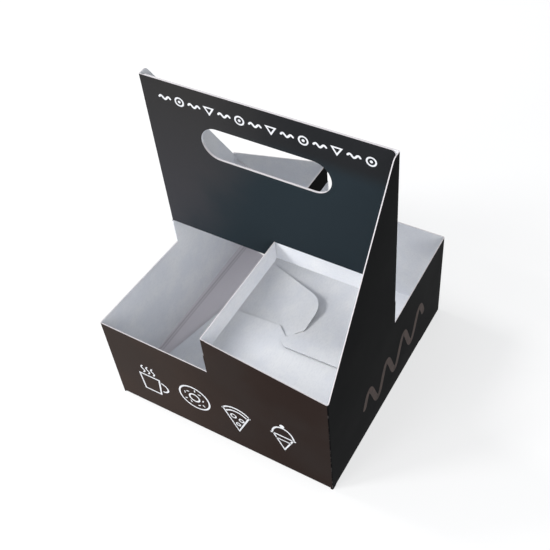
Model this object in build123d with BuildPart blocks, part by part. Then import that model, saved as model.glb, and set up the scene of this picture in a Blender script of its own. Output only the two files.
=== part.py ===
"""Four-cup carrier, folded and locked from one die-cut sheet of board.

The sheet is a pinwheel: each half is a long wall, the gabled wall beside it, the
handle panel that folds off the gable, and the strap that ties that panel back to the
long wall. The second half is the first one turned half a turn. Four bottom flaps lock
over and under each other, and one glued tab closes the ring of walls.

Millimetres, +Z up, origin at the middle of the base, on the surface it stands on.
"""

import os
from math import atan2, cos, radians, sin, sqrt, tan

from build123d import *

# The sheet
board = 0.7
fold_radius = 0.4
ply_gap = 0.2

# The box, outside
width = 190.0
depth = 190.0
corner = 2.0
hem = 4.0

# Heights of the wall tops above the base
front_left_top = 87.5
front_right_top = 109.5
back_right_top = 86.5
back_left_top = 103.4
low_top_at_strap = 85.3
low_top_at_handle = 81.0

# Handle panels, straps and gable tips
handle_setback = 5.0
handle_top = 242.0
handle_end_gap = 1.6
handle_corner_radius = 3.0
front_strap_x = -0.7
back_strap_x = -6.0
strap_bottom = 105.0
front_strap_top = 122.7
back_strap_top = 124.0
strap_relief = 2.2
tip_flat = 8.0
tip_radius = 5.0

# Hand hole through both handle panels
hand_hole_length = 100.0
hand_hole_height = 27.0
hand_hole_z = 200.0
hand_hole_x = -1.0

# Cut-and-crease line where each handle panel folds off its gable
slit_length = 3.4
slit_width = 0.5
slit_pitch = 6.5
slit_margin = 7.0

# Glued tab
tab_width = 16.0
tab_bottom = 9.0
tab_top = 97.0
tab_taper = 6.0
seam_gap = 0.3

# Bottom flaps; the lock is the point where they cross, and it stands a little raised
root = 4.0
lock_x = -2.5
lock_y = 7.2
front_flap_tilt = 3.0
back_flap_tilt = 3.5
dust_flap_tilt = 3.2

front_flap_taper = 15.5
front_step_x = 9.9
front_step_y = 8.0
front_edge_lean = 2.3
front_step_radius = 6.0

back_nose_length = 4.5
back_nose_drop = 10.8
back_nose_radius = 4.0
back_edge_lean = 1.0
back_flap_end_inset = 22.0

dust_root_inset = 5.0
dust_hook_x = 13.5
dust_hook_y = 42.6
dust_hook_radius = 20.0
dust_chin_x = 11.7
dust_chin_y = 11.2
dust_chin_radius = 4.0
dust_front_x = 14.0
dust_front_y = 16.0
dust_front_inset = 38.0
hook_bend_radius = 40.0
hook_bend_angle = 9.0
hook_pass = 15.0

# Derived places
half_x = width / 2
half_y = depth / 2
mid_radius = fold_radius + board / 2
outer_radius = fold_radius + board
front_face_y = handle_setback - ply_gap / 2 - board
back_face_y = handle_setback + ply_gap / 2 + board
tab_y = half_y - board - board / 2
ply = board + ply_gap
dust_z = 0.0
front_z = ply
back_z = 2 * ply
overrun = 1.0


def blank_half(reach, strap_x, strap_top, low_corner, wall_end, gable_end):
    """Front wall, left wall with its gable, handle panel and strap.

    reach is the distance from the front wall's face to the handle panel's face, and
    strap_x is the middle of the strap. The last three heights are the wall tops at the
    left corner, at the front wall's right end and at the left wall's back end.
    """
    wall_x = -half_x + board / 2
    wall_y = -half_y + board / 2
    fold_y = -half_y + reach
    panel_y = fold_y + board / 2
    far_x = half_x - corner
    far_y = half_y - corner

    with BuildPart() as rims:
        # The left wall's outline, seen from the side
        with BuildSketch(Plane.YZ.offset(-half_x - overrun)):
            with BuildLine():
                Polyline(
                    (-half_y - overrun, hem),
                    (-half_y - overrun, low_corner),
                    (-half_y + corner, low_corner),
                    (fold_y, low_top_at_handle),
                    (fold_y, strap_bottom),
                    (fold_y + outer_radius, strap_bottom),
                    (fold_y + outer_radius, handle_top),
                    (fold_y + tip_flat, handle_top),
                    (far_y, gable_end),
                    (far_y + overrun, gable_end),
                    (far_y + overrun, hem),
                    close=True,
                )
            make_face()
            tip = vertices().group_by(Axis.Y)[-1].sort_by(Axis.X)[-1]
            fillet(tip, tip_radius)
        extrude(amount=overrun + corner)
        # The front wall's outline, seen from the front
        with BuildSketch(Plane.XZ.offset(half_y - corner)):
            with BuildLine():
                Polyline(
                    (-half_x + corner, hem),
                    (-half_x + corner, low_corner),
                    (strap_x - board / 2, low_top_at_strap),
                    (strap_x - board / 2, strap_bottom),
                    (strap_x - board / 2 + outer_radius, strap_bottom),
                    (strap_x - board / 2 + outer_radius, strap_top),
                    (far_x, wall_end),
                    (far_x, hem),
                    close=True,
                )
            make_face()
        extrude(amount=corner + overrun)

    with BuildPart() as half:
        # Both walls, folded at the left corner
        with BuildSketch(Plane.XY.offset(hem)):
            with BuildLine():
                FilletPolyline(
                    (far_x, wall_y), (wall_x, wall_y), (wall_x, far_y), radius=mid_radius
                )
            trace(line_width=board)
        extrude(amount=handle_top - hem)
        add(rims.part, mode=Mode.INTERSECT)

        # The zigzag strip: gable, handle panel, strap and front wall
        with BuildSketch(Plane.XY.offset(strap_bottom)):
            with BuildLine():
                FilletPolyline(
                    (wall_x, panel_y + 2 * corner),
                    (wall_x, panel_y),
                    (strap_x, panel_y),
                    (strap_x, wall_y),
                    (strap_x + 2 * corner, wall_y),
                    radius=mid_radius,
                )
            trace(line_width=board)
        extrude(amount=strap_top - strap_bottom)

        # The rest of the handle panel, from one wall to just short of the other
        with BuildSketch(Plane.XY.offset(strap_top)):
            with BuildLine():
                FilletPolyline(
                    (wall_x, panel_y + 2 * corner),
                    (wall_x, panel_y),
                    (half_x - board - handle_end_gap, panel_y),
                    radius=mid_radius,
                )
            trace(line_width=board)
        extrude(amount=handle_top - strap_top)
        free_end = edges().filter_by(Axis.Y).group_by(Axis.Z)[-1].sort_by(Axis.X)[-1]
        fillet(free_end, handle_corner_radius)

        # The strap's lower corner is relieved where it meets the panel
        with BuildSketch(Plane.YZ.offset(strap_x)):
            with Locations((fold_y + board, strap_bottom)):
                Polygon(
                    (0, 0), (-strap_relief - board, 0), (0, strap_relief + board), align=None
                )
        extrude(amount=board, both=True, mode=Mode.SUBTRACT)

        # Slits along the fold between gable and handle panel
        slit_run = handle_top - strap_bottom - 2 * slit_margin
        slit_count = int(slit_run / slit_pitch) + 1
        first_slit = (handle_top + strap_bottom - (slit_count - 1) * slit_pitch) / 2
        inward = outer_radius - mid_radius / sqrt(2)
        heights = [first_slit + i * slit_pitch for i in range(slit_count)]
        fold_x = -half_x + inward
        with Locations([Location((fold_x, fold_y + inward, z), (0, 0, 45)) for z in heights]):
            Box(board + overrun, slit_width, slit_length, mode=Mode.SUBTRACT)
    return half.part


def folded_root(plane, wall, level, length, toward, tilt):
    """A wall's lowest strip with the fold to its bottom flap.

    plane holds the section at one end of the fold, wall is the wall's middle in it,
    toward is +1 or -1, the way in, and tilt is how many degrees the flap rises. The
    strip runs along the plane's normal.
    """
    flap = radians(tilt)
    with BuildPart() as strip:
        with BuildSketch(plane):
            with BuildLine():
                FilletPolyline(
                    (wall, hem),
                    (wall, level + board / 2),
                    (wall + toward * root * cos(flap), level + board / 2 + root * sin(flap)),
                    radius=mid_radius,
                )
            trace(line_width=board)
        extrude(amount=length)
    return strip.part


def foot(side_x, side_y, along_x, along_y, top):
    """The foot of a folded corner, with the plain stretches of wall beside it."""
    wall_x = half_x - board / 2
    wall_y = half_y - board / 2
    with BuildPart() as base:
        with BuildSketch():
            with BuildLine():
                FilletPolyline(
                    (side_x * (half_x - along_x), side_y * wall_y),
                    (side_x * wall_x, side_y * wall_y),
                    (side_x * wall_x, side_y * (half_y - along_y)),
                    radius=mid_radius,
                )
            trace(line_width=board)
        extrude(amount=top)
    return base.part


# Bottom flap off the front wall: over the left dust flap, under the back flap's nose
taper = tan(radians(front_flap_taper))
front_root_y = -half_y + root - overrun
front_left_x = -half_x + corner
front_right_x = half_x - corner
front_edge_y = lock_y - ply_gap
shoulder_x = lock_x - front_step_x
shoulder_y = lock_y + front_step_y
front_back_y = shoulder_y + (front_left_x - shoulder_x) * tan(radians(front_edge_lean))
with BuildPart() as front_flap:
    with BuildSketch(Plane.XY.offset(front_z)):
        with BuildLine():
            Polyline(
                (front_left_x, front_root_y),
                (front_left_x + (front_back_y - front_root_y) * taper, front_back_y),
                (shoulder_x, shoulder_y),
                (lock_x, front_edge_y),
                (front_right_x - (front_edge_y - front_root_y) * taper, front_edge_y),
                (front_right_x, front_root_y),
                close=True,
            )
        make_face()
        shoulder = vertices().sort_by_distance((shoulder_x, shoulder_y))[0]
        fillet(shoulder, front_step_radius)
    extrude(amount=board)

# The left dust flap bends upward along the line from its back root to the lock
dust_root_x = -half_x + root - overrun
dust_root_y = half_y - dust_root_inset
dust_root_length = depth - dust_root_inset - dust_front_inset
hook_x = lock_x + dust_hook_x
hook_y = lock_y + dust_hook_y
chin_x = lock_x + dust_chin_x
chin_y = lock_y + dust_chin_y
dust_slope = (dust_root_y - hook_y) / (hook_x + half_x)
bend_angle = atan2(lock_y - dust_root_y, lock_x + half_x)
along = Vector(cos(bend_angle), sin(bend_angle), 0)
across = Vector(-sin(bend_angle), cos(bend_angle), 0)
reach_each_way = width + depth

# Bottom flap off the back wall: its nose lies on the front flap, and its slanted edge
# passes under the hook of the left dust flap
back_root_y = half_y - root + overrun
nose_x = lock_x + back_nose_length
nose_y = lock_y - back_nose_drop
back_end_x = half_x - back_flap_end_inset
back_end_y = nose_y + (back_end_x - nose_x) * tan(radians(back_edge_lean))
chin_angle = atan2(dust_chin_y, dust_chin_x)
pass_length = hook_pass / sin(chin_angle - bend_angle)
pass_x = lock_x + pass_length * cos(chin_angle)
pass_y = lock_y + pass_length * sin(chin_angle)
back_left_y = back_root_y - root
back_left_x = pass_x + (back_left_y - pass_y) / tan(bend_angle)
with BuildPart() as back_flap:
    with BuildSketch(Plane.XY.offset(back_z)):
        with BuildLine():
            Polyline(
                (lock_x + ply, lock_y - ply_gap),
                (pass_x + ply, pass_y - ply_gap),
                (pass_x, pass_y),
                (back_left_x, back_left_y),
                (back_left_x, back_root_y),
                (half_x - corner, back_root_y),
                (back_end_x, back_end_y),
                (nose_x, nose_y),
                (lock_x - ply_gap, nose_y + back_nose_radius),
                (lock_x - ply_gap, lock_y - back_nose_radius),
                close=True,
            )
        make_face()
        nose = vertices().sort_by_distance((nose_x, nose_y))[0]
        fillet(nose, back_nose_radius)
    extrude(amount=board)

# Both dust flaps share one outline; the right one is the left one turned half a turn
with BuildSketch() as dust_outline:
    with BuildLine():
        Polyline(
            (dust_root_x, dust_root_y - (root - overrun) * dust_slope),
            (hook_x, hook_y),
            (chin_x, chin_y),
            (lock_x, lock_y),
            (lock_x - dust_front_x, lock_y - dust_front_y),
            (dust_root_x, -half_y + dust_front_inset),
            close=True,
        )
    make_face()
    hook = vertices().sort_by_distance((hook_x, hook_y))[0]
    fillet(hook, dust_hook_radius)
    chin = vertices().sort_by_distance((chin_x, chin_y))[0]
    fillet(chin, dust_chin_radius)

with BuildPart() as left_flap:
    bend = Plane(origin=(-half_x, dust_root_y, dust_z), x_dir=across, z_dir=along)
    with BuildSketch(bend):
        with BuildLine():
            flat = Line((-reach_each_way, board / 2), (0, board / 2))
            curl = JernArc(flat @ 1, flat % 1, hook_bend_radius, hook_bend_angle)
            PolarLine(curl @ 1, depth / 2, direction=curl % 1)
        trace(line_width=board)
    extrude(amount=reach_each_way, both=True)
    with BuildSketch(Plane.XY.offset(dust_z - overrun)):
        add(dust_outline.sketch)
    extrude(amount=depth / 2, mode=Mode.INTERSECT)

with BuildPart() as right_flap:
    with BuildSketch(Plane.XY.offset(dust_z)):
        add(dust_outline.sketch, rotation=180)
    extrude(amount=board)

# The folds from the walls to the four flaps
wall_x = half_x - board / 2
wall_y = half_y - board / 2
wall_start = Plane.YZ.offset(-half_x + corner)
wall_run = width - 2 * corner
left_start = Plane.XZ.offset(-dust_root_y)
right_start = Plane.XZ.offset(dust_front_inset - half_y)
front_root = folded_root(wall_start, -wall_y, front_z, wall_run, 1, front_flap_tilt)
back_root = folded_root(wall_start, wall_y, back_z, wall_run, -1, back_flap_tilt)
left_root = folded_root(left_start, -wall_x, dust_z, dust_root_length, 1, dust_flap_tilt)
right_root = folded_root(right_start, wall_x, dust_z, dust_root_length, -1, 0)

# Three flaps rise from their folds towards the lock, and the right one lies flat
front_fold = Axis((0, -wall_y, front_z + board / 2), (1, 0, 0))
back_fold = Axis((0, wall_y, back_z + board / 2), (1, 0, 0))
left_fold = Axis((-wall_x, 0, dust_z + board / 2), (0, 1, 0))
raised_front = front_flap.part.rotate(front_fold, front_flap_tilt)
raised_back = back_flap.part.rotate(back_fold, -back_flap_tilt)
raised_left = left_flap.part.rotate(left_fold, -dust_flap_tilt)

# The folded corners down to the base, each with the stretches of wall without a flap
front_left_foot = foot(-1, -1, corner, dust_front_inset, hem)
back_right_foot = foot(1, 1, corner, dust_front_inset, hem)
front_right_foot = foot(1, -1, corner, dust_root_inset, hem)
front_right_fold = foot(1, -1, corner, corner, front_right_top)

# The glued corner: the left wall folds into a tab inside the back wall, whose cut
# edge ends just short of the fold
with BuildPart() as glued_corner:
    with BuildSketch():
        with BuildLine():
            FilletPolyline(
                (-half_x + board / 2, dust_root_y),
                (-half_x + board / 2, tab_y),
                (-half_x + tab_width, tab_y),
                radius=mid_radius,
            )
        trace(line_width=board)
    extrude(amount=back_left_top)
    with BuildSketch(Plane.XZ.offset(-half_y - overrun)):
        with BuildLine():
            Polyline(
                (-half_x - overrun, 0),
                (-half_x + corner, 0),
                (-half_x + corner, tab_bottom),
                (-half_x + tab_width, tab_bottom + tab_taper),
                (-half_x + tab_width, tab_top - tab_taper),
                (-half_x + corner, tab_top),
                (-half_x + corner, back_left_top),
                (-half_x - overrun, back_left_top),
                close=True,
            )
        make_face()
    extrude(amount=overrun + dust_root_inset, mode=Mode.INTERSECT)
    with BuildSketch():
        with Locations((-half_x + seam_gap, half_y)):
            Rectangle(corner - seam_gap, board, align=(Align.MIN, Align.MAX))
    extrude(amount=back_left_top)

front_half = blank_half(
    half_y + front_face_y,
    front_strap_x,
    front_strap_top,
    front_left_top,
    front_right_top,
    back_left_top,
)
back_half = blank_half(
    half_y - back_face_y,
    -back_strap_x,
    back_strap_top,
    back_right_top,
    back_left_top,
    front_right_top,
)

with BuildPart() as carrier:
    add(front_half)
    add(back_half, rotation=(0, 0, 180))
    add(front_left_foot)
    add(back_right_foot)
    add(front_right_foot)
    add(front_right_fold)
    add(glued_corner.part)
    add(front_root)
    add(back_root)
    add(left_root)
    add(right_root)
    add(raised_front)
    add(raised_back)
    add(raised_left)
    add(right_flap.part)
    with BuildSketch(Plane.XZ.offset(-handle_setback)):
        with Locations((hand_hole_x, hand_hole_z)):
            SlotOverall(hand_hole_length, hand_hole_height)
    extrude(amount=corner, both=True, mode=Mode.SUBTRACT)

carrier.part.label = "carrier"
os.makedirs("parts", exist_ok=True)
export_step(carrier.part, "parts/carrier.step")
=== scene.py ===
import math

import bmesh
import bpy
from mathutils import Matrix, Vector


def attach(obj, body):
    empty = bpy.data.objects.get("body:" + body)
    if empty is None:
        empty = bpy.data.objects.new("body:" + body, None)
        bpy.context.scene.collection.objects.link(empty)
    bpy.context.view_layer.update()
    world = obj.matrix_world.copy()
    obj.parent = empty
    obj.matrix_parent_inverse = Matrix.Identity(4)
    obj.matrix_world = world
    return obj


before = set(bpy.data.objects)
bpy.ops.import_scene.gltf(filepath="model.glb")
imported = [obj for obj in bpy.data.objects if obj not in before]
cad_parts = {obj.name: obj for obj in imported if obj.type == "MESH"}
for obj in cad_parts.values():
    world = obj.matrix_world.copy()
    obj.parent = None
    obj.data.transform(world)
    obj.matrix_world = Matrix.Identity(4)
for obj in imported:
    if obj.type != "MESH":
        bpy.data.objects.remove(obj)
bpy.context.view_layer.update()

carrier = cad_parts["carrier"]

# Sizes of the sheet, in metres, as in the CAD source
HALF = 0.095
BOARD = 0.0007
FRONT_PANEL_Y = 0.0042
BACK_PANEL_Y = 0.0058
FRONT_STRAP_X = -0.0007
BACK_STRAP_X = -0.006
STRAP_BOTTOM = 0.105

# How far the prints stand off the board
PROUD = 0.00002

# A face looks along an axis when that part of its normal is at least this
FACING = 0.6
# Room that a mask leaves around the face it picks, in metres
MARGIN = 0.001
# Millimetres in a metre, for the prints' places
MM = 1000

# The camera of the photograph, solved from the photo's own edges
AZIMUTH = math.radians(35.407)
ELEVATION = math.radians(48.069)
ROLL = math.radians(-6.901)
CAMERA_PLACE = Vector((0.25696, -0.36256, 0.58613))
FOCAL_PIXELS = 890.16
PHOTO_PIXELS = 550
SENSOR_MM = 36

# Rays that see the white background; all others see a plain soft grey
SEEN_BY = ("Camera", "Glossy", "Transmission")

FLOOR_HALF = 6.0
LAMP_TARGET = (0, 0, 0.08)


class Nodes:
    """Short calls for building one material's node tree."""

    def __init__(self, name):
        self.material = bpy.data.materials.new(name)
        self.material.use_nodes = True
        self.tree = self.material.node_tree
        self.bsdf = self.tree.nodes["Principled BSDF"]
        self.place = self.add("ShaderNodeTexCoord").outputs["Object"]

    def add(self, kind, **settings):
        node = self.tree.nodes.new(kind)
        for key, value in settings.items():
            setattr(node, key, value)
        return node

    def put(self, socket, value):
        """Link value to the socket, or set it where it is a constant."""
        if isinstance(value, bpy.types.NodeSocket):
            self.tree.links.new(value, socket)
        else:
            socket.default_value = value

    def split(self, vector):
        node = self.add("ShaderNodeSeparateXYZ")
        self.put(node.inputs[0], vector)
        return node.outputs

    def math(self, operation, a, b=0.0, c=0.0):
        node = self.add("ShaderNodeMath", operation=operation)
        for socket, value in zip(node.inputs, (a, b, c)):
            self.put(socket, value)
        return node.outputs[0]

    def above(self, a, b):
        return self.math("GREATER_THAN", a, b)

    def below(self, a, b):
        return self.math("LESS_THAN", a, b)

    def both(self, *values):
        result = values[0]
        for value in values[1:]:
            result = self.math("MULTIPLY", result, value)
        return result

    def either(self, *values):
        result = values[0]
        for value in values[1:]:
            result = self.math("MAXIMUM", result, value)
        return result

    def ramp(self, value, low, high, out_low=0.0, out_high=1.0, smooth=True):
        node = self.add(
            "ShaderNodeMapRange", interpolation_type="SMOOTHSTEP" if smooth else "LINEAR"
        )
        settings = (value, low, high, out_low, out_high)
        for socket, item in zip(node.inputs, settings):
            self.put(socket, item)
        return node.outputs[0]

    def noise(self, scale, detail, rough, stretch=None):
        source = self.place
        if stretch:
            mapping = self.add("ShaderNodeMapping")
            self.put(mapping.inputs["Vector"], source)
            mapping.inputs["Scale"].default_value = stretch
            source = mapping.outputs[0]
        node = self.add("ShaderNodeTexNoise")
        self.put(node.inputs["Vector"], source)
        node.inputs["Scale"].default_value = scale
        node.inputs["Detail"].default_value = detail
        node.inputs["Roughness"].default_value = rough
        return node.outputs["Fac"]

    def mix(self, factor, a, b):
        node = self.add("ShaderNodeMix", data_type="RGBA")
        self.put(node.inputs["Factor"], factor)
        sockets = [s for s in node.inputs if s.type == "RGBA"]
        self.put(sockets[0], a)
        self.put(sockets[1], b)
        return [s for s in node.outputs if s.type == "RGBA"][0]

    def bump(self, height, strength, distance, normal=None):
        node = self.add("ShaderNodeBump")
        node.inputs["Strength"].default_value = strength
        node.inputs["Distance"].default_value = distance
        self.put(node.inputs["Height"], height)
        if normal is not None:
            self.put(node.inputs["Normal"], normal)
        return node.outputs[0]

    def warp(self, normal=None):
        """The slow unevenness of a large sheet of board."""
        return self.bump(self.noise(9.0, 2.0, 0.5), 0.35, 0.0016, normal)


def srgb(r, g, b):
    """A colour as 0-255 screen values, in the shader's linear values."""
    def linear(v):
        v = v / 255
        return v / 12.92 if v <= 0.04045 else ((v + 0.055) / 1.055) ** 2.4
    return (linear(r), linear(g), linear(b), 1.0)


def printed_mask(m, x, y, z, nx, ny, nz):
    """Which faces of the sheet are its printed side, and which of them face along Y."""
    skin = HALF - BOARD / 2 - 0.0001
    size_x = m.math("ABSOLUTE", x)
    size_y = m.math("ABSOLUTE", y)
    turn_x = m.math("MULTIPLY", nx, m.math("SIGN", x))
    turn_y = m.math("MULTIPLY", ny, m.math("SIGN", y))
    side_walls = m.both(m.above(size_x, skin), m.above(turn_x, FACING))
    long_walls = m.both(m.above(size_y, skin), m.above(turn_y, FACING))
    # The cut edge of the back wall at the glued corner faces sideways and stays bare
    seam = m.both(m.above(y, HALF - BOARD - 0.00002), m.below(nx, -0.9))
    side_walls = m.both(side_walls, m.math("SUBTRACT", 1.0, seam))
    above_box = m.above(z, STRAP_BOTTOM - MARGIN)
    front_panel = m.both(
        m.below(ny, -FACING),
        m.above(y, FRONT_PANEL_Y - MARGIN),
        m.below(y, FRONT_PANEL_Y + BOARD / 2),
        above_box,
    )
    back_panel = m.both(
        m.above(ny, FACING),
        m.below(y, BACK_PANEL_Y + MARGIN),
        m.above(y, BACK_PANEL_Y - BOARD / 2),
        above_box,
    )
    front_strap = m.both(
        m.below(nx, -FACING),
        m.below(x, FRONT_STRAP_X),
        m.above(x, FRONT_STRAP_X - MARGIN),
        m.below(y, FRONT_PANEL_Y),
        m.above(y, BOARD - HALF),
        above_box,
    )
    back_strap = m.both(
        m.above(nx, FACING),
        m.above(x, BACK_STRAP_X),
        m.below(x, BACK_STRAP_X + MARGIN),
        m.above(y, BACK_PANEL_Y),
        m.below(y, HALF - BOARD),
        above_box,
    )
    underside = m.both(m.below(nz, -FACING), m.below(z, 0.02))
    printed = m.either(
        side_walls, long_walls, front_panel, back_panel, front_strap, back_strap, underside
    )
    return printed, long_walls


def bare_board(m, fibre, x, y, z, nz):
    """Pale grey fibre with faint clouding, a grey core, and painted shade on the left flap
    beside its fold and in two pressed creases.
    """
    cloud = m.noise(38.0, 5.0, 0.6)
    bare = m.mix(m.ramp(cloud, 0.35, 0.65), srgb(223, 225, 230), srgb(231, 232, 234))
    bare = m.mix(m.ramp(fibre, 0.4, 0.75, 0.0, 0.3), bare, srgb(207, 209, 214))

    # Painted shade: the left flap is painted a shade browner and darker beside its fold,
    # up to the front flap's edge
    front_flap_edge = m.math("MULTIPLY_ADD", y, 0.277, -0.0687)
    left_flap = m.both(
        m.either(m.below(x, front_flap_edge), m.above(y, 0.002)),
        m.above(nz, 0.7),
        m.below(z, 0.015),
    )
    painted_fold_shade = m.both(left_flap, m.ramp(x, -0.07, -0.045, 0.85, 0.0))
    bare = m.mix(painted_fold_shade, bare, srgb(218, 212, 217))

    # Two dark lines painted as the shade in the pressed creases where the left flap folds
    # off its wall, a little askew to the fold
    foot = m.below(z, 0.006)
    askew = m.math("MULTIPLY_ADD", y, 0.016, 0.0006)
    inward = m.math("SUBTRACT", m.math("ADD", x, HALF), askew)
    for place, depth in ((0.0029, 0.3), (0.0051, 0.24)):
        away = m.math("ABSOLUTE", m.math("SUBTRACT", inward, place))
        line = m.both(m.ramp(away, 0.0002, 0.0013, depth, 0.0), foot)
        bare = m.mix(line, bare, srgb(120, 116, 120))

    # The cut edges that face upwards show the grey core of the board
    cut = m.both(m.above(nz, 0.2), m.above(z, 0.03))
    return m.mix(cut, bare, srgb(204, 199, 201))


def film(m, tone, long_walls, x, y, z, nx, ny):
    """The print: brown on the long walls, dark grey on the handle panels with a neutral
    brim above the hand hole, and near black at the sides. Painted reflection makes it
    paler towards the left of each long wall and handle panel, and sweeps it diagonally
    from grey to blue across the handle panels.
    """
    along = m.math("MULTIPLY", x, m.math("MULTIPLY", ny, -1.0))
    along = m.math("ADD", along, m.ramp(tone, 0.3, 0.7, -0.007, 0.007))
    slant = m.math("MULTIPLY_ADD", z, -0.6, along)

    # Painted reflection: the brown is paler towards the left of each long wall
    warm = m.mix(m.ramp(along, -0.1, 0.08), srgb(60, 51, 47), srgb(43, 34, 31))
    blotch = m.noise(16.0, 3.0, 0.5)
    warm = m.mix(m.ramp(blotch, 0.42, 0.66, 0.0, 0.3), warm, srgb(50, 47, 46))

    # Painted reflection: the handle panels' grey is paler lower down and to the left,
    # sweeping diagonally to blue, and the brim is paler to the left too
    pale = m.mix(m.ramp(z, 0.1, 0.24, smooth=False), srgb(62, 62, 66), srgb(51, 50, 50))
    blue = m.mix(m.ramp(slant, -0.17, -0.105), pale, srgb(39, 47, 52))
    brim = m.mix(m.ramp(along, -0.05, 0.03), pale, srgb(37, 38, 40))
    blue = m.mix(m.ramp(z, 0.205, 0.221), blue, brim)

    dark = m.mix(m.ramp(tone, 0.3, 0.7), srgb(8, 9, 10), srgb(12, 13, 14))
    ink = m.mix(long_walls, blue, warm)
    ink = m.mix(m.ramp(m.math("ABSOLUTE", nx), 0.3, 0.7), ink, dark)

    # It is rubbed pale in places along the folded corners
    rub = m.noise(260.0, 5.0, 0.65)
    corner = HALF - 0.0006
    corner_fold = m.both(
        m.above(m.math("ABSOLUTE", x), corner), m.above(m.math("ABSOLUTE", y), corner)
    )
    worn = m.both(corner_fold, m.ramp(rub, 0.45, 0.65, 0.0, 0.3))
    return m.mix(worn, ink, srgb(120, 116, 114))


def board_material():
    """Printed film outside, bare fibre inside and at every cut edge."""
    m = Nodes("printed_board")
    x, y, z = m.split(m.place)
    geometry = m.add("ShaderNodeNewGeometry")
    nx, ny, nz = m.split(geometry.outputs["True Normal"])
    printed, long_walls = printed_mask(m, x, y, z, nx, ny, nz)

    fibre = m.noise(900.0, 3.0, 0.6, stretch=(1.0, 0.35, 1.0))
    tone = m.noise(22.0, 4.0, 0.55)
    bare = bare_board(m, fibre, x, y, z, nz)
    ink = film(m, tone, long_walls, x, y, z, nx, ny)
    m.put(m.bsdf.inputs["Base Color"], m.mix(printed, bare, ink))

    roughness = m.math("ADD", m.math("MULTIPLY", printed, -0.50), 0.86)
    roughness = m.math("ADD", roughness, m.ramp(tone, 0.3, 0.7, -0.03, 0.03))
    m.put(m.bsdf.inputs["Roughness"], roughness)
    m.bsdf.inputs["Specular IOR Level"].default_value = 0.003

    bare_fibre = m.math("MULTIPLY", fibre, m.math("SUBTRACT", 1.0, printed))
    grain = m.bump(bare_fibre, 0.25, 0.0002)
    speck = m.bump(m.noise(2600.0, 2.0, 0.5), 0.05, 0.00008, grain)
    m.put(m.bsdf.inputs["Normal"], m.warp(speck))
    return m.material


carrier.data.materials.clear()
carrier.data.materials.append(board_material())


def arc(cx, cy, rx, ry, start, end, steps):
    """Points along an ellipse's arc, in degrees from start to end."""
    points = []
    for i in range(steps + 1):
        a = math.radians(start + (end - start) * i / steps)
        points.append((cx + rx * math.cos(a), cy + ry * math.sin(a)))
    return points


def ripple(low, high, y, swing, turns, steps=18):
    """A wavy level line at y, from low to high."""
    points = []
    for i in range(steps + 1):
        t = i / steps
        rise = swing * math.sin(2 * math.pi * turns * t)
        points.append((low + (high - low) * t, y + rise))
    return points


def steam(x, low, high):
    """One upright curl at x, from low to high."""
    return [(px, py) for py, px in ripple(low, high, x, 1.1, 1.0, steps=24)]


class Print:
    """Flat ink on one face of the sheet. Places are in millimetres on that face."""

    def __init__(self, name, corner, across, material):
        self.name = name
        self.corner = Vector(corner)
        self.across = Vector(across)
        self.up = Vector((0, 0, 1))
        self.material = material
        self.start = (0, 0)
        self.size = 1
        self.bm = bmesh.new()

    def place(self, x, y, size=1):
        """Set where the next picture stands and how large it is drawn."""
        self.start = (x, y)
        self.size = size

    def vert(self, x, y):
        x = self.start[0] + self.size * x
        y = self.start[1] + self.size * y
        return self.bm.verts.new(self.corner + (self.across * x + self.up * y) / MM)

    def line(self, points, width, closed=False):
        """A ribbon of even width with mitred joins and round ends."""
        half = width / 2
        count = len(points)
        left_rim = []
        right_rim = []
        for i, (px, py) in enumerate(points):
            before = points[(i - 1) % count] if closed or i > 0 else None
            after = points[(i + 1) % count] if closed or i < count - 1 else None
            first = before and (px - before[0], py - before[1])
            second = after and (after[0] - px, after[1] - py)
            first = first or second
            second = second or first
            na = math.hypot(*first)
            nb = math.hypot(*second)
            normal_a = (-first[1] / na, first[0] / na)
            normal_b = (-second[1] / nb, second[0] / nb)
            mx = normal_a[0] + normal_b[0]
            my = normal_a[1] + normal_b[1]
            # The join of a sharp bend reaches out by one line width at most
            scale = max(mx * normal_a[0] + my * normal_a[1], 0.5)
            left_rim.append(self.vert(px + half * mx / scale, py + half * my / scale))
            right_rim.append(self.vert(px - half * mx / scale, py - half * my / scale))
        for i in range(count if closed else count - 1):
            j = (i + 1) % count
            self.bm.faces.new((left_rim[i], right_rim[i], right_rim[j], left_rim[j]))
        if not closed:
            self.cap(points[1], points[0], half)
            self.cap(points[-2], points[-1], half)

    def cap(self, inner, end, half):
        """A half disc on a line's end."""
        steps = 6
        angle = math.atan2(end[1] - inner[1], end[0] - inner[0])
        rim = []
        for i in range(steps + 1):
            a = angle - math.pi / 2 + math.pi * i / steps
            rim.append(self.vert(end[0] + half * math.cos(a), end[1] + half * math.sin(a)))
        self.bm.faces.new(rim)

    def dot(self, x, y, radius):
        steps = 14
        rim = []
        for i in range(steps):
            a = 2 * math.pi * i / steps
            rim.append(self.vert(x + radius * math.cos(a), y + radius * math.sin(a)))
        self.bm.faces.new(rim)

    def finish(self):
        mesh = bpy.data.meshes.new(self.name)
        self.bm.normal_update()
        self.bm.to_mesh(mesh)
        self.bm.free()
        mesh.materials.append(self.material)
        obj = bpy.data.objects.new(self.name, mesh)
        bpy.context.scene.collection.objects.link(obj)
        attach(obj, "root")


def mug(ink, w):
    ink.line([(-9, 17), (-7.5, 0), (5.5, 0), (7, 17)], w, closed=True)
    ink.line(arc(7, 9.5, 6, 5, 75, -75, 14), w)
    for x in (-5, -1, 3):
        ink.line(steam(x, 20, 27), w * 0.85)


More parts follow.
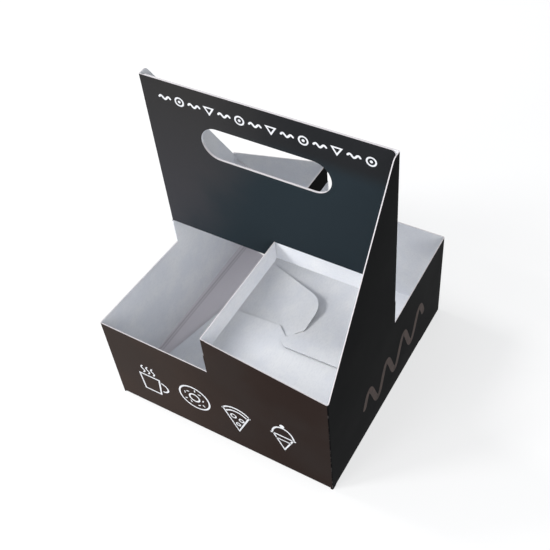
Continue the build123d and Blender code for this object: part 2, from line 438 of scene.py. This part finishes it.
def ring_cake(ink, w):
    ink.line(arc(0, 12, 12, 12, 0, 350, 36), w, closed=True)
    ink.line(arc(0, 12, 4, 4, 0, 345, 18), w, closed=True)
    # Nine short sprinkles, each at its own distance and angle
    for i in range(9):
        a = math.radians(40 * i + 12 * (i % 2))
        r = 7.8 + 0.9 * (i % 3 - 1)
        cx = r * math.cos(a)
        cy = 12 + r * math.sin(a)
        dx = 0.8 * math.cos(a + 1.2 + i)
        dy = 0.8 * math.sin(a + 1.2 + i)
        ink.line([(cx - dx, cy - dy), (cx + dx, cy + dy)], w * 0.7)


def slice_wedge(ink, w):
    ink.line([(-10, 22), (0, 0), (10, 22)], w)
    ink.line(arc(0, 15, 12.4, 11.5, 33, 147, 18), w)
    ink.line(arc(0, 12.6, 10.4, 10.4, 45, 135, 14), w)
    for x, y, r in ((-2.6, 16.3, 2.0), (3.4, 14.4, 1.7), (0.2, 8.2, 1.5)):
        ink.line(arc(x, y, r, r, 0, 340, 12), w * 0.75, closed=True)


def cone(ink, w):
    ink.line([(-7, 15), (0, 0), (7, 15)], w)
    ink.line([(-8.5, 15), (8.5, 15)], w)
    ink.line(arc(0, 15, 7.6, 9.5, 8, 172, 20), w)
    ink.line([(-4.9, 10.5), (4.9, 10.5)], w * 0.8)
    ink.dot(0, 26.6, 1.7)


def long_wall_print(name, turn, material):
    """Line pictures of snacks along one long wall; turn is 1 in front and -1 behind."""
    corner = (-turn * HALF, -turn * (HALF + PROUD), 0)
    ink = Print(name, corner, (turn, 0, 0), material)
    width = 1.45
    for picture, x, y, size in (
        (mug, 36, 23, 1.12),
        (ring_cake, 76, 28, 1.1),
        (slice_wedge, 113, 23, 1.12),
        (cone, 152, 27, 1.15),
    ):
        ink.place(x, y, size)
        picture(ink, width / size)
    ink.finish()


def handle_print(name, turn, material):
    """A row of ripples, ringed dots and triangles along the top of one handle panel."""
    panel_y = FRONT_PANEL_Y if turn > 0 else BACK_PANEL_Y
    corner = (-turn * HALF, panel_y - turn * PROUD, 0)
    ink = Print(name, corner, (turn, 0, 0), material)
    count = 14
    first_x = 19
    row_length = 153
    row_height = 228
    width = 1.5
    for i in range(count):
        ink.place(first_x + row_length * i / (count - 1), row_height)
        if i % 4 == 1:
            ink.line(arc(0, 0, 3.2, 3.2, 0, 345, 18), width * 0.8, closed=True)
            ink.dot(0, 0, 1.1)
        elif i % 4 == 3:
            ink.line([(0, -2.8), (3.4, 2.6), (-3.4, 2.6)], width * 0.8, closed=True)
        else:
            ink.line(ripple(-4.4, 4.4, 0, 1.2, 1.5), width)
    ink.finish()


def side_wall_print(name, turn, material):
    """One large faint wave along one side wall; turn is 1 at the right, -1 at the left."""
    corner = (turn * (HALF + PROUD), -turn * HALF, 0)
    ink = Print(name, corner, (0, turn, 0), material)
    ink.line(ripple(52, 154, 36, 13, 3.5, steps=84), 5.5)
    ink.finish()


def ink_material(name, colour, patch):
    m = Nodes(name)
    tone = m.noise(120.0, 3.0, 0.6)
    m.put(m.bsdf.inputs["Base Color"], m.mix(m.ramp(tone, 0.35, 0.7), colour, patch))
    m.bsdf.inputs["Roughness"].default_value = 0.45
    m.bsdf.inputs["Specular IOR Level"].default_value = 0.02
    m.put(m.bsdf.inputs["Normal"], m.warp())
    return m.material


white_ink = ink_material("white_ink", srgb(226, 227, 230), srgb(214, 215, 219))
brown_ink = ink_material("brown_ink", srgb(76, 64, 60), srgb(64, 55, 52))
long_wall_print("print_front", 1, white_ink)
long_wall_print("print_back", -1, white_ink)
handle_print("trim_front", 1, white_ink)
handle_print("trim_back", -1, white_ink)
side_wall_print("wave_right", 1, brown_ink)
side_wall_print("wave_left", -1, brown_ink)


def photo_camera():
    """The camera stands where the photograph was taken from."""
    back = Vector((
        math.sin(AZIMUTH) * math.cos(ELEVATION),
        -math.cos(AZIMUTH) * math.cos(ELEVATION),
        math.sin(ELEVATION),
    ))
    level = Vector((math.cos(AZIMUTH), math.sin(AZIMUTH), 0))
    upright = back.cross(level)
    right = level * math.cos(ROLL) + upright * math.sin(ROLL)
    up = -level * math.sin(ROLL) + upright * math.cos(ROLL)
    data = bpy.data.cameras.new("camera")
    data.sensor_width = SENSOR_MM
    data.lens = FOCAL_PIXELS / PHOTO_PIXELS * SENSOR_MM
    data.clip_start = 0.01
    data.clip_end = 20
    camera = bpy.data.objects.new("camera", data)
    bpy.context.scene.collection.objects.link(camera)
    camera.matrix_world = Matrix((
        (right.x, up.x, back.x, CAMERA_PLACE.x),
        (right.y, up.y, back.y, CAMERA_PLACE.y),
        (right.z, up.z, back.z, CAMERA_PLACE.z),
        (0, 0, 0, 1),
    ))
    bpy.context.scene.camera = camera


def floor_material():
    """White where the camera sees it, with the object's shadow, and grey to all else."""
    m = Nodes("floor")
    rays = m.add("ShaderNodeLightPath")
    seen = m.either(*(rays.outputs["Is %s Ray" % kind] for kind in SEEN_BY))
    m.put(
        m.bsdf.inputs["Base Color"],
        m.mix(seen, (0.5, 0.5, 0.5, 1), (0.95, 0.95, 0.95, 1)),
    )
    m.bsdf.inputs["Roughness"].default_value = 1.0
    m.bsdf.inputs["Specular IOR Level"].default_value = 0.0
    glow = m.add("ShaderNodeEmission")
    glow.inputs["Color"].default_value = (1, 1, 1, 1)
    glow.inputs["Strength"].default_value = 1.0
    # All white away from the object, so that the floor's far edge doesn't show
    distance = m.add("ShaderNodeVectorMath", operation="LENGTH")
    m.put(distance.inputs[0], m.place)
    white = m.ramp(distance.outputs["Value"], 0.4, 1.6, 0.62, 1.0)
    blend = m.add("ShaderNodeMixShader")
    m.put(blend.inputs[0], m.math("MULTIPLY", seen, white))
    m.put(blend.inputs[1], m.bsdf.outputs[0])
    m.put(blend.inputs[2], glow.outputs[0])
    m.put(m.tree.nodes["Material Output"].inputs[0], blend.outputs[0])
    return m.material


def lamp(name, place, size, power):
    """A soft round lamp that faces the middle of the object."""
    data = bpy.data.lights.new(name, "AREA")
    data.shape = "DISK"
    data.size = size
    data.energy = power
    obj = bpy.data.objects.new(name, data)
    bpy.context.scene.collection.objects.link(obj)
    obj.location = place
    aim = Vector(LAMP_TARGET) - Vector(place)
    obj.rotation_euler = aim.to_track_quat("-Z", "Y").to_euler()


def studio_world():
    """A plain soft light from all round, white where the camera sees it."""
    world = bpy.data.worlds.new("studio")
    bpy.context.scene.world = world
    world.use_nodes = True
    tree = world.node_tree
    soft = tree.nodes["Background"]
    soft.inputs["Color"].default_value = (0.93, 0.96, 1.0, 1)
    soft.inputs["Strength"].default_value = 0.5
    white = tree.nodes.new("ShaderNodeBackground")
    white.inputs["Color"].default_value = (1, 1, 1, 1)
    white.inputs["Strength"].default_value = 1.0
    rays = tree.nodes.new("ShaderNodeLightPath")
    seen = rays.outputs["Is %s Ray" % SEEN_BY[0]]
    for kind in SEEN_BY[1:]:
        either = tree.nodes.new("ShaderNodeMath")
        either.operation = "MAXIMUM"
        tree.links.new(seen, either.inputs[0])
        tree.links.new(rays.outputs["Is %s Ray" % kind], either.inputs[1])
        seen = either.outputs[0]
    blend = tree.nodes.new("ShaderNodeMixShader")
    tree.links.new(seen, blend.inputs[0])
    tree.links.new(soft.outputs[0], blend.inputs[1])
    tree.links.new(white.outputs[0], blend.inputs[2])
    tree.links.new(blend.outputs[0], tree.nodes["World Output"].inputs[0])


photo_camera()

floor_mesh = bpy.data.meshes.new("floor")
floor_mesh.from_pydata(
    [
        (-FLOOR_HALF, -FLOOR_HALF, 0),
        (FLOOR_HALF, -FLOOR_HALF, 0),
        (FLOOR_HALF, FLOOR_HALF, 0),
        (-FLOOR_HALF, FLOOR_HALF, 0),
    ],
    [],
    [(0, 1, 2, 3)],
)
floor_mesh.materials.append(floor_material())
floor = bpy.data.objects.new("floor", floor_mesh)
bpy.context.scene.collection.objects.link(floor)

lamp("left", (-1.338, 0.0, 1.566), 0.6, 17)
lamp("key", (-1.1, -1.1, 1.35), 0.45, 16)
lamp("front", (-0.63, -1.73, 0.861), 0.9, 14.5)
lamp("right", (1.378, -1.077, 1.05), 1.4, 14)
studio_world()

bpy.context.scene.view_settings.view_transform = "Standard"
